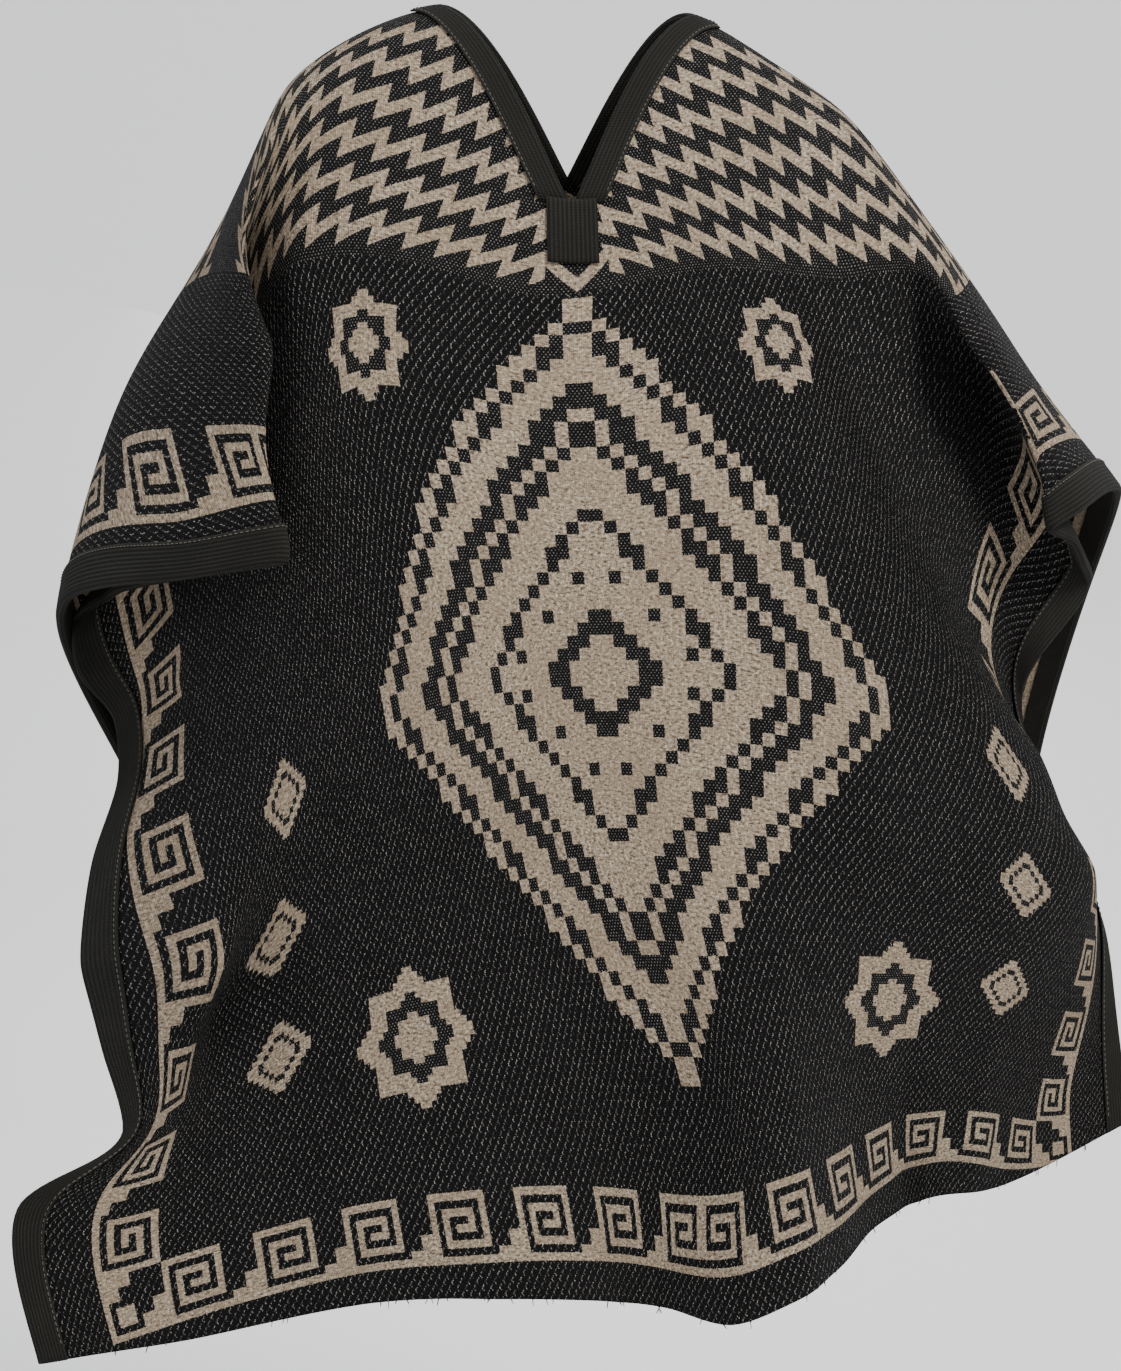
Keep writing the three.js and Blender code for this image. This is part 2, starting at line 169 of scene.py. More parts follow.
# small creases, with the same columns as the folds
creases = {
    "underarm left high": (-400, 240, -190, 400, 20, -3, 0),
    "underarm left": (-445, 330, -270, 560, 24, 5, 1),
    "underarm left low": (-350, 470, -200, 640, 18, -3.5, -1),
    "strip left": (-330, 640, -415, 850, 22, -5, -3),
    "underarm right high": (415, 270, 215, 420, 20, -3, 0),
    "underarm right": (455, 390, 300, 610, 24, 5, 1),
    "flank right": (380, 520, 250, 700, 18, -3.5, -1),
    "hem ridge left": (-215, 660, -190, 890, 24, 1, 5),
    "hem trough left": (-95, 640, -75, 890, 18, -1, -4),
    "hem ridge right": (120, 610, 95, 890, 22, 1, 4),
    "hem trough right": (260, 650, 280, 890, 20, -1, -5),
    "hem ridge far right": (355, 700, 372, 890, 17, 1, 4),
    "chest left": (-50, 190, -190, 300, 16, -2.2, 0),
    "chest right": (60, 190, 210, 290, 16, -2.2, 0),
    "shoulder left": (-130, 40, -235, 150, 18, 1, 3),
    "shoulder right": (150, 20, 285, 110, 18, 1, 3),
    "waist left": (-150, 440, 40, 500, 22, -2.5, 0),
    "waist right": (230, 470, 60, 540, 20, 2.5, 0),
    "back blade left": (-190, -300, -110, -560, 22, -4, -1),
    "back blade right": (205, -320, 120, -600, 22, -4, -1),
    "back side left": (-420, -380, -320, -700, 24, 5, 1),
    "back side right": (420, -380, 330, -700, 24, 5, 1),
    "back low left": (-335, -640, -350, -890, 18, -1, -4),
    "back low middle": (-60, -560, -45, -890, 18, -1, -4),
    "back low right": (330, -640, 350, -890, 18, -1, -4),
    "back waist": (-200, -470, 60, -520, 20, 2.5, 0),
}

# where the woven pattern lies a little off the cloth's own measure, because the
# cloth is drawn in over the arms: (u, v, pattern u, pattern v)
drift = {
    "slit foot": (0, 150, 0, 150),
    "breast": (0, 320, 0, 320),
    "belly": (0, 600, 0, 600),
    "neck left": (-88, 0, -92, 0),
    "neck right": (88, 0, 100, 2),
    "yoke left 1": (-33, 204, -30, 200),
    "yoke left 2": (-72, 195, -78, 200),
    "yoke left 3": (-119, 186, -125, 200),
    "yoke left 4": (-184, 160, -173, 200),
    "yoke left 5": (-218, 143, -197, 200),
    "yoke left 6": (-243, 129, -220, 200),
    "yoke left 7": (-66, 130, -80, 131),
    "yoke left 8": (-117, 134, -125, 143),
    "yoke left 9": (-112, 81, -125, 85),
    "yoke left 10": (-176, 109, -173, 143),
    "yoke left 11": (-168, 47, -173, 85),
    "yoke right 1": (39, 192, 30, 200),
    "yoke right 2": (73, 188, 78, 200),
    "yoke right 3": (91, 190, 101, 200),
    "yoke right 4": (139, 183, 149, 200),
    "yoke right 5": (204, 140, 197, 200),
    "yoke right 6": (264, 90, 244, 200),
    "yoke right 7": (311, 48, 292, 200),
    "yoke right 8": (343, 12, 316, 200),
    "yoke right 9": (93, 131, 101, 143),
    "yoke right 10": (89, 81, 101, 85),
    "yoke right 11": (147, 112, 149, 143),
    "yoke right 12": (145, 48, 149, 85),
    "yoke right 13": (201, 73, 197, 143),
    "yoke right 14": (198, 37, 197, 114),
    "yoke right 15": (259, 53, 244, 171),
    "sleeve left 1": (-465, -52, -470, -25),
    "sleeve left 2": (-469, -124, -470, -101),
    "sleeve right 1": (441, 38, 443, 205),
    "sleeve right 2": (437, -38, 445, 155),
    "sleeve right 3": (462, -22, 470, 178),
    "sleeve right 4": (480, 26, 495, 203),
    "sleeve right 5": (485, -53, 495, 155),
    "sleeve right 6": (503, -100, 512, 112),
    "side left 1": (-468, 215, -470, 253),
    "side left 2": (-477, 318, -470, 329),
    "side left 3": (-494, 401, -475, 405),
    "side left 4": (-476, 496, -470, 482),
    "side left 5": (-463, 584, -470, 558),
    "side left 6": (-445, 816, -470, 787),
    "side right 1": (458, 133, 470, 253),
    "side right 2": (435, 214, 470, 329),
    "side right 3": (450, 583, 470, 558),
    "side right 4": (472, 683, 470, 634),
    "side right 5": (461, 767, 470, 710),
    "side right 6": (445, 830, 470, 787),
    "hem left 1": (-73, 842, -85, 843),
    "hem left 2": (-146, 844, -155, 843),
    "hem left 3": (-209, 848, -222, 843),
    "hem left 4": (-269, 848, -289, 843),
    "hem left 5": (-326, 852, -356, 843),
    "hem left 6": (-393, 856, -423, 843),
    "hem middle": (0, 842, 0, 843),
    "hem right 1": (92, 834, 89, 843),
    "hem right 2": (172, 845, 156, 843),
    "hem right 3": (239, 844, 223, 843),
    "hem right 4": (299, 840, 290, 843),
    "hem right 5": (379, 847, 357, 843),
    "low left": (-300, 640, -300, 635),
    "low right": (300, 640, 300, 630),
    "mid left": (-220, 430, -220, 435),
    "mid right": (220, 430, 222, 440),
    "back high": (0, -320, 0, -320),
    "back high left": (-260, -260, -260, -250),
    "back high right": (260, -260, 260, -225),
    "back middle left": (-300, -600, -300, -600),
    "back middle right": (300, -600, 300, -600),
    "back hem left": (-300, -900, -300, -900),
    "back hem middle": (0, -900, 0, -900),
    "back hem right": (300, -900, 300, -900),
    "back corner left": (-530, -900, -530, -900),
    "back corner right": (530, -900, 530, -900),
    "back side left": (-530, -500, -530, -500),
    "back side right 1": (530, -300, 530, -150),
    "back side right 2": (530, -500, 530, -420),
    "back side right 3": (530, -700, 530, -665),
}

plate = {"unit": 100, "give": 0.02, "driftGive": 0.3, "step": 4}


def plateBend(du, dv):
    square = (du * du + dv * dv) / plate["unit"] ** 2
    return np.where(square > 1e-12, square * np.log(np.maximum(square, 1e-12)), 0)


def flatTerms(u, v):
    return np.column_stack([np.ones(len(u)), u / plate["unit"], v / plate["unit"]])


def bentPlate(rows, give):
    # the smoothest plate through a table's rows, as a function of u and v
    table = np.array(list(rows.values()), float)
    atU, atV = table[:, 0], table[:, 1]
    count = len(table)
    left = np.zeros((count + 3, count + 3))
    left[:count, :count] = plateBend(atU[:, None] - atU, atV[:, None] - atV)
    left[:count, :count] += give * np.eye(count)
    left[:count, count:] = flatTerms(atU, atV)
    left[count:, :count] = left[:count, count:].T
    right = np.zeros((count + 3, table.shape[1] - 2))
    right[:count] = table[:, 2:]
    weights = np.linalg.solve(left, right)

    def read(u, v):
        bends = plateBend(u[:, None] - atU, v[:, None] - atV)
        return np.hstack([bends, flatTerms(u, v)]) @ weights

    return read


onPlate = bentPlate(guides, plate["give"])
patternPlace = bentPlate(drift, plate["driftGive"])


def facing(place, u, v, step):
    across = place(u + step, v) - place(u - step, v)
    down = place(u, v + step) - place(u, v - step)
    out = np.cross(down, across)
    return out / np.linalg.norm(out, axis=1)[:, None]


def foldHeight(u, v):
    height = np.zeros(len(u))
    for fromU, fromV, toU, toV, reach, rise, toRise in (*folds.values(), *creases.values()):
        length = math.hypot(toU - fromU, toV - fromV)
        wayU, wayV = (toU - fromU) / length, (toV - fromV) / length
        along = (u - fromU) * wayU + (v - fromV) * wayV
        aside = (u - fromU) * wayV - (v - fromV) * wayU
        share = np.clip(along / length, 0, 1)
        past = np.maximum(0, np.maximum(-along, along - length))
        height += (rise + (toRise - rise) * share) * np.exp(-(aside ** 2 + past ** 2) / reach ** 2)
    slow = np.sin(u / ripple["across"] + 1.2 * np.sin(v / ripple["wander"]))
    slow += np.sin(v / ripple["down"] + u / ripple["slant"] + 0.7)
    return height + ripple["height"] * slow


def clothPlace(u, v):
    return onPlate(u, v) + facing(onPlate, u, v, plate["step"]) * foldHeight(u, v)[:, None]


def clothFacing(u, v):
    return facing(clothPlace, u, v, cloth["facingStep"])


print("cloth surface solved from", len(guides), "guides")


# a value in a material's nodes, worked with plain arithmetic
class Reading:
    def __init__(self, tree, socket):
        self.tree = tree
        self.socket = socket

    def maths(self, operation, *others):
        node = self.tree.nodes.new("ShaderNodeMath")
        node.operation = operation
        for slot, other in zip(node.inputs, (self,) + others):
            if isinstance(other, Reading):
                self.tree.links.new(other.socket, slot)
            else:
                slot.default_value = other
        return Reading(self.tree, node.outputs[0])

    def __add__(self, other):
        return self.maths("ADD", other)

    def __sub__(self, other):
        return self.maths("SUBTRACT", other)

    def __mul__(self, other):
        return self.maths("MULTIPLY", other)

    def __truediv__(self, other):
        return self.maths("DIVIDE", other)

    def __mod__(self, other):
        return self.maths("FLOORED_MODULO", other)

    def __lt__(self, other):
        return self.maths("LESS_THAN", other)

    def __gt__(self, other):
        return self.maths("GREATER_THAN", other)

    def size(self):
        return self.maths("ABSOLUTE")

    def whole(self):
        return self.maths("FLOOR")

    def wave(self):
        return self.maths("SINE")

    def either(self, other):
        return self.maths("MAXIMUM", other)

    def lesser(self, other):
        return self.maths("MINIMUM", other)

    def opposite(self):
        return self * -1 + 1


def newMaterial(name, roughness, sheen, sheenRoughness=0.5):
    material = bpy.data.materials.new(name)
    material.use_nodes = True
    shader = material.node_tree.nodes["Principled BSDF"]
    shader.inputs["Roughness"].default_value = roughness
    shader.inputs["Specular IOR Level"].default_value = 0.05
    shader.inputs["Sheen Weight"].default_value = sheen
    shader.inputs["Sheen Roughness"].default_value = sheenRoughness
    return material, material.node_tree, shader


def flatPlace(tree):
    coords = tree.nodes.new("ShaderNodeUVMap")
    coords.uv_map = "flat"
    apart = tree.nodes.new("ShaderNodeSeparateXYZ")
    tree.links.new(coords.outputs["UV"], apart.inputs[0])
    u = Reading(tree, apart.outputs["X"]) * (1 / mm)
    v = Reading(tree, apart.outputs["Y"]) * (1 / mm)
    return coords.outputs["UV"], u, v


def slanted(tree, coords):
    # stretches a pattern along threads that lean a little off the weft
    mapping = tree.nodes.new("ShaderNodeMapping")
    mapping.vector_type = "POINT"
    mapping.inputs["Rotation"].default_value = (0, 0, math.radians(weave["slubLean"]))
    mapping.inputs["Scale"].default_value = weave["slubScale"]
    tree.links.new(coords, mapping.inputs["Vector"])
    return mapping.outputs["Vector"]


def noise(tree, coords, scale, detail=2.0):
    node = tree.nodes.new("ShaderNodeTexNoise")
    node.inputs["Scale"].default_value = scale
    node.inputs["Detail"].default_value = detail
    tree.links.new(coords, node.inputs["Vector"])
    return Reading(tree, node.outputs["Fac"])


def blend(tree, share, first, second):
    node = tree.nodes.new("ShaderNodeMix")
    node.data_type = "RGBA"
    tree.links.new(share.socket, node.inputs["Factor"])
    for slot, colour in ((node.inputs["A"], first), (node.inputs["B"], second)):
        if isinstance(colour, tuple):
            slot.default_value = colour + (1,)
        else:
            tree.links.new(colour, slot)
    return node.outputs["Result"]


def reliefBump(tree, shader, height, distance, strength=1.0):
    bump = tree.nodes.new("ShaderNodeBump")
    bump.inputs["Distance"].default_value = distance
    bump.inputs["Strength"].default_value = strength
    tree.links.new(height.socket, bump.inputs["Height"])
    tree.links.new(bump.outputs["Normal"], shader.inputs["Normal"])


# the woven pattern, in millimetres of flat cloth
border = {
    "sideLine": 495,
    "sideDepth": 50,
    "hemLine": 870,
    "hemDepth": 53,
    "hemFrets": 7,
    "sideFrets": 11,
    "repeat": 14,
    "fretWide": 9,
}

# one fret of the border with its steps, charted from the middle outward and
# from the inside down to the border's outer line
fretChart = [
    "XXXXXXXXX.....",
    "X.......X.....",
    "X.XXXXX.X.....",
    "X.X...X.X.....",
    "X.XXX.X.X.....",
    "X.....X.XXX...",
    "XXXXXXX.XXX...",
    "........XXXXX.",
    "XXXXXXXXXXXXXX",
]

cornerChart = [
    ".....XXXXX",
    ".....XXXXX",
    ".......XXX",
    ".......XXX",
    ".........X",
    "XX...XXX.X",
    "XX...XXX.X",
    "XXXX.XXX.X",
    "XXXX.....X",
    "XXXXXXXXXX",
]

yoke = {
    "halfWidth": 335,
    "tooth": 23.8,
    "row": 28.7,
    "start": 28.7,
    "rows": 6,
    "rise": 0.503,
    "long": 0.65,
    "apart": 0.466,
    "lean": 0.049,
    "phase": 0.35,
    "pointHalf": 20,
    "pointFrom": 176,
    "pointFoot": 200,
    "pointWide": 11,
}

medallion = {
    "middle": 480,
    "halfWidth": 215,
    "halfLength": 262,
    "step": 9,
    "rings": (0.0, 0.1, 0.17, 0.39, 0.44, 0.6, 0.66, 0.7, 0.78, 0.9, 0.95, 1.0),
    "dotted": (0.22, 0.35),
    "stars": ((152, 266, 36), (232, 706, 46)),
    "starRing": 0.62,
    "starCore": 0.34,
    "starStep": 4.5,
    "columnAcross": 345,
    "columnRepeat": 96,
    "columnFrom": 442,
    "columnTo": 730,
    "diamond": 27,
    "diamondRing": 17.5,
    "diamondCore": 9.5,
}


def charted(chart, column, row):
    tree = column.tree
    ramp = tree.nodes.new("ShaderNodeValToRGB")
    stops = ramp.color_ramp
    stops.interpolation = "CONSTANT"
    wide = 2 ** len(chart[0])
    for number, line in enumerate(chart):
        marks = sum(2 ** place for place, mark in enumerate(line) if mark == "X") / wide
        stop = stops.elements[number] if number < 2 else stops.elements.new(number / len(chart))
        stop.position = number / len(chart)
        stop.color = (marks, marks, marks, marks)
    tree.links.new(((row + 0.5) / len(chart)).socket, ramp.inputs["Fac"])
    marks = Reading(tree, ramp.outputs["Alpha"]) * wide + 0.25
    place = (column * 0 + 2).maths("POWER", column)
    return (marks / place).whole() % 2


def borderFigure(across, down):
    side = border["sideLine"] - border["sideDepth"]
    hem = border["hemLine"] - border["hemDepth"]
    hemCell = side / ((border["hemFrets"] - 1) * border["repeat"] + border["fretWide"])
    sideCell = hem / ((border["sideFrets"] - 1) * border["repeat"] + border["fretWide"])
    rows = len(fretChart)
    hemRow = ((down - hem) * (rows / border["hemDepth"])).whole()
    sideRow = ((across - side) * (rows / border["sideDepth"])).whole()
    hemFret = charted(fretChart, (across / hemCell).whole() % border["repeat"], hemRow)
    sideFret = charted(fretChart, (down / sideCell).whole() % border["repeat"], sideRow)
    steps = len(cornerChart)
    cornerRow = ((down - hem) * (steps / border["hemDepth"])).whole()
    cornerPlace = ((across - side) * (steps / border["sideDepth"])).whole()
    corner = charted(cornerChart, cornerPlace, cornerRow)
    inAcross = across < border["sideLine"]
    inDown = down < border["hemLine"]
    onSide = (across > side) * inAcross
    onHem = (down > hem) * inDown
    sideOnly = onSide * (down < hem)
    hemOnly = onHem * (across < side)
    lit = (hemFret * hemOnly).either(sideFret * sideOnly).either(corner * onSide * onHem)
    return lit, onSide.either(onHem)


def yokeFigure(across, down):
    alpha = across * (-1 / yoke["tooth"]) + yoke["phase"]
    beta = (down - yoke["start"]) / yoke["row"]

    def outline(lean, apart):
        share = (alpha + beta - lean) % 1
        climb = share * (-1 / yoke["long"]) + 1
        drop = (share - yoke["long"]) / (1 - yoke["long"])
        return beta - climb.either(drop) * yoke["rise"] - apart

    upper = outline(0, 0).whole()
    lower = outline(yoke["lean"], yoke["apart"]).whole()
    inside = (upper > -0.5) * (upper < yoke["rows"] - 0.5)
    region = (across < yoke["halfWidth"]) * (down < yoke["start"] + yoke["row"] * (yoke["rows"] + 0.2))
    middle = (across < yoke["pointHalf"]) * (down > yoke["pointFrom"])
    point = ((down - yoke["pointFoot"] + across).size() < yoke["pointWide"] / 2) * middle
    zigzag = ((upper - lower).size() > 0.5) * inside * region * middle.opposite()
    return zigzag, point, region


def medallionFigure(across, down):
    step = medallion["step"]
    fromMiddle = (down - medallion["middle"]).size()
    stepAcross = (across / step).whole() * (step / medallion["halfWidth"])
    stepDown = (fromMiddle / step).whole() * (step / medallion["halfLength"])
    reach = stepAcross + stepDown
    lit = reach * 0
    rings = medallion["rings"]
    for inner, outer in zip(rings[0::2], rings[1::2]):
        lit = lit.either((reach > inner - 0.001) * (reach < outer))
    inner, outer = medallion["dotted"]
    dotAcross = ((across / step).whole() % 3 - 1).size() < 0.5
    dotDown = ((fromMiddle / step).whole() % 3 - 1).size() < 0.5
    dots = dotAcross * dotDown * (reach > inner) * (reach < outer)
    lit = lit * dots.opposite()
    area = reach < rings[-1]
    small = medallion["starStep"]
    for starAcross, starDown, radius in medallion["stars"]:
        x = ((across - starAcross).size() / small).whole() * small
        y = ((down - starDown).size() / small).whole() * small
        square = x.either(y) * 1.42
        star = square.lesser(x + y)
        ring = (star < radius) * (star > radius * medallion["starRing"])
        lit = lit.either(ring).either(star < radius * medallion["starCore"])
        area = area.either(star < radius)
    repeat = medallion["columnRepeat"]
    x = ((across - medallion["columnAcross"]).size() / small).whole() * small
    y = (((down - medallion["columnFrom"]) % repeat - repeat / 2).size() / small).whole() * small
    tall = (down > medallion["columnFrom"]) * (down < medallion["columnTo"])
    diamond = x + y
    solid = (diamond < medallion["diamond"]) * tall
    pale = (diamond < medallion["diamondCore"]).either(diamond > medallion["diamondRing"])
    return lit.either(solid * pale), area.either(solid)


weave = {
    "roughness": 0.95,
    "sheen": 0.012,
    "thread": 1.3,
    "knot": (0.34, 0.36),
    "netAcross": 6.4,
    "netDown": 9.4,
    "netLine": 0.17,
    "netArms": (0.72, 0.5),
    "eyeAcross": 2.7,
    "eyeDown": 1.9,
    "eyeDot": (0.17, 0.24),
    "stray": ((900, 1.7), (760, 1.9)),
    "mottle": 430,
    "broad": 14,
    "fine": 900,
    "slubLean": -28,
    "slubScale": (260, 640, 1),
    "relief": 0.0007,
    "reliefStrength": 0.8,
    "raised": 0.5,
    "black": (0.0052, 0.0046, 0.0044),
    "soot": (0.0085, 0.0082, 0.0082),
    "fleck": (0.33, 0.315, 0.29),
    "beige": (0.33, 0.26, 0.183),
    "cream": (0.6, 0.51, 0.385),
    "dun": (0.085, 0.058, 0.042),
    "tan": (0.245, 0.178, 0.115),
    "heather": (
        ("slub", 0.33, 4.5, 1, "beige"),
        ("mottle", 0.5, 4.5, 0.9, "cream"),
        ("fine", 0.62, 9, 0.85, "dun"),
        ("broad", 0.42, 1.6, 0.45, "tan"),
    ),
}


def strayed(tree, coords, value, scale, reach):
    # a figure's edge wanders a little from thread to thread
    return (value + (noise(tree, coords, scale, 1) - 0.5) * reach).size()


def overshare(reading, above, gain, most):
    # how far a reading is over a level, up to a most
    return ((reading - above) * gain).lesser(most)


def wovenMaterial(name, inside):
    material, tree, shader = newMaterial(name, weave["roughness"], weave["sheen"])
    coords, u, v = flatPlace(tree)
    across = strayed(tree, coords, u, *weave["stray"][0])
    down = strayed(tree, coords, v, *weave["stray"][1])
    borderLit, onBorder = borderFigure(across, down)
    yokeLit, tip, onYoke = yokeFigure(across, down)
    middleLit, onMiddle = medallionFigure(across, down)
    plainYoke = onYoke * onBorder.opposite()
    lit = borderLit.either(yokeLit * onBorder.opposite()).either(tip).either(middleLit)

    # pale flecks on the black: a netted ground, and a finer one between the figures
    thread = weave["thread"]
    knotAcross, knotDown = weave["knot"]
    warp = (u / thread) % 1
    weft = (v / thread) % 1
    knot = ((warp - 0.5).size() < knotAcross) * ((weft - 0.5).size() < knotDown)
    p = u / weave["netAcross"]
    q = v / weave["netDown"]
    rising = (p + q) % 1
    falling = (p - q) % 1
    line = weave["netLine"]
    longArm, shortArm = weave["netArms"]
    net = ((rising < line) * (falling < longArm)).either((falling < line) * (rising < shortArm))
    eyeRow = v / weave["eyeDown"]
    eyeColumn = u / weave["eyeAcross"] + eyeRow.whole() % 2 * 0.5
    dotAcross, dotDown = weave["eyeDot"]
    eyeDot = ((eyeColumn % 1 - 0.5).size() < dotAcross) * ((eyeRow % 1 - 0.5).size() < dotDown)
    grain = {
        "mottle": noise(tree, coords, weave["mottle"], 2),
        "broad": noise(tree, coords, weave["broad"], 3),
        "fine": noise(tree, coords, weave["fine"], 1),
        "slub": noise(tree, slanted(tree, coords), 1, 2),
    }
    openGround = plainYoke.either(onMiddle).opposite()
    netFlecks = net * knot * openGround * overshare(grain["mottle"], 0.4, 4, 1).either(0.06)
    eyeFlecks = eyeDot * openGround.opposite() * overshare(grain["fine"], 0.38, 2.4, 0.7).either(0.03)

    ground = blend(tree, grain["broad"], weave["black"], weave["soot"])
    ground = blend(tree, netFlecks.either(eyeFlecks), ground, weave["fleck"])
    heather = weave["dun"]
    for name, above, gain, most, colour in weave["heather"]:
        share = overshare(grain[name], above, gain, most).either(0)
        heather = blend(tree, share, heather, weave[colour])
    colour = blend(tree, lit.opposite() if inside else lit, ground, heather)
    tree.links.new(colour, shader.inputs["Base Color"])
    rows = ((v / thread * math.tau + u * 1.1).wave() + (u / thread * math.tau).wave()) * 0.25
    raised = -weave["raised"] if inside else weave["raised"]
    height = rows + grain["mottle"] * 0.9 + lit * raised
    reliefBump(tree, shader, height, weave["relief"], weave["reliefStrength"])
    return material


outsideCloth = wovenMaterial("wovenOutside", False)
insideCloth = wovenMaterial("wovenInside", True)
print("woven pattern ready")


def newPiece(name, shape, materials):
    mesh = bpy.data.meshes.new(name)
    shape.to_mesh(mesh)
    shape.free()
    piece = bpy.data.objects.new(name, mesh)
    bpy.context.scene.collection.objects.link(piece)
    for material in materials:
        mesh.materials.append(material)
    mesh.polygons.foreach_set("use_smooth", [True] * len(mesh.polygons))
    mesh.update()
    return piece


def thicken(piece, wall, offset, innerMaterial=0):
    solid = piece.modifiers.new("wall", "SOLIDIFY")
    solid.thickness = wall * mm
    solid.offset = offset
    solid.material_offset = innerMaterial


def flatHalf(shape, hand, side, cell):
    # one half of a panel, flat: its inner edge follows the slit, then the middle
    wide = cloth["width"] / 2
    columns = round(wide / cell)
    slitRows = round(cloth["slitDepth"] / cell)
    rows = round(cloth["length"] / cloth["slitDepth"] * slitRows)
    made = bmesh.ops.create_grid(shape, x_segments=columns, y_segments=rows, size=0.5)
    for vert in made["verts"]:
        share = vert.co.x + 0.5
        down = (vert.co.y + 0.5) * cloth["length"]
        inner = cloth["neckHalf"] * max(0, 1 - down / cloth["slitDepth"])
        vert.co.x = hand * (inner + (wide - inner) * share)
        vert.co.y = side * max(down, cloth["foldGap"])
    return made["verts"]


def drape(shape):
    # keeps the pattern's place as UV and moves each vertex to where the cloth hangs
    layer = shape.loops.layers.uv.new("flat")
    verts = list(shape.verts)
    flat = np.array([vert.co[:2] for vert in verts])
    woven = patternPlace(flat[:, 0], flat[:, 1]) * mm
    wovenAt = dict(zip(verts, woven))
    for face in shape.faces:
        for loop in face.loops:
            loop[layer].uv = wovenAt[loop.vert]
    worn = clothPlace(flat[:, 0], flat[:, 1])
    for vert, place in zip(verts, worn):
        vert.co = place * mm
    shape.normal_update()
    face = next(iter(shape.faces))
    flatAt = dict(zip(verts, flat))
    middle = np.mean([flatAt[vert] for vert in face.verts], axis=0)
    if np.dot(face.normal, clothFacing(middle[:1], middle[1:])[0]) < 0:
        bmesh.ops.reverse_faces(shape, faces=shape.faces)


def panel(name, side, cell):
    shape = bmesh.new()
    for hand in (-1, 1):
        flatHalf(shape, hand, side, cell)
    bmesh.ops.remove_doubles(shape, verts=shape.verts, dist=cloth["weld"])
    bmesh.ops.recalc_face_normals(shape, faces=shape.faces)
    drape(shape)
    piece = newPiece(name, shape, [outsideCloth, insideCloth])
    thicken(piece, cloth["wall"], 0, 1)
    return piece


frontCloth = panel("frontCloth", 1, cloth["cell"])
backCloth = panel("backCloth", -1, cloth["backCell"])
print("panels draped:", len(frontCloth.data.polygons), len(backCloth.data.polygons))

# ribbed binding tape, folded over an edge
binding = {
    "sideWide": 24,
    "neckWide": 19,
    "out": 3.1,
    "rib": 0.32,
    "ribsSide": 8,
    "ribsNeck": 6,
    "wall": 1.1,
    "wallOffset": -0.2,
    "pointsPerRib": 6,
    "turnSteps": 10,
    "turnFlat": 0.9,
    "probe": 4,
    "neckInner": 0.45,
    "neckFrom": -149.5,
    "neckTo": 143,
    "alongStep": 6,
    "colour": (0.0105, 0.0102, 0.0088),
    # the lighter tape colour is a painted highlight on the rib ridges, and also random patches of wear
    "worn": (0.034, 0.0325, 0.028),
    "cord": 1.6,
    "band": 3.0,
    "relief": 0.0006,
    "reliefStrength": 0.8,
}


def tapeMaterial():
    material, tree, shader = newMaterial("ribbedTape", 0.9, 0.02)
    coords, around, along = flatPlace(tree)
    mottle = noise(tree, coords, 900, 2)
    broad = noise(tree, coords, 25, 3)
    cord = (along * (math.tau / binding["cord"])).wave() * 0.5 + 0.5
    rib = (around * (math.tau / binding["band"])).wave() * 0.5 + 0.5
    # painted highlight: lighter along the rib ridges where the relief rises, plus random patches of wear
    # from the noise
    ribHighlightAndWear = (rib * 0.55 + mottle * 0.5 + broad * 0.5 - 0.62).either(0).lesser(1)
    colour = blend(tree, ribHighlightAndWear, binding["colour"], binding["worn"])
    tree.links.new(colour, shader.inputs["Base Color"])
    height = cord * 0.5 + mottle + rib * 0.4
    reliefBump(tree, shader, height, binding["relief"], binding["reliefStrength"])
    return material


ribbedTape = tapeMaterial()


def tapeSection(wide, ribs, inner):
    # around the tape from the outer leaf's edge over the fold to the inner one's:
    # (distance in from the cloth's edge, height off the middle, distance around)
    out, rib = binding["out"], binding["rib"]
    steps = ribs * binding["pointsPerRib"]
    leaf = [wide * (1 - step / steps) for step in range(steps)]
    section = []
    for place in leaf:
        section.append((place, out + rib * abs(math.sin(math.pi * place * ribs / wide)), wide - place))
    for turn in range(binding["turnSteps"] + 1):
        angle = math.pi * turn / binding["turnSteps"]
        beyond = out * binding["turnFlat"] * math.sin(angle)
        section.append((-beyond, out * math.cos(angle), wide + out * angle))
    for place in [place * inner for place in reversed(leaf)]:
        height = out + rib * abs(math.sin(math.pi * place * ribs / wide))
        section.append((place, -height, wide + out * math.pi + place))
    return section


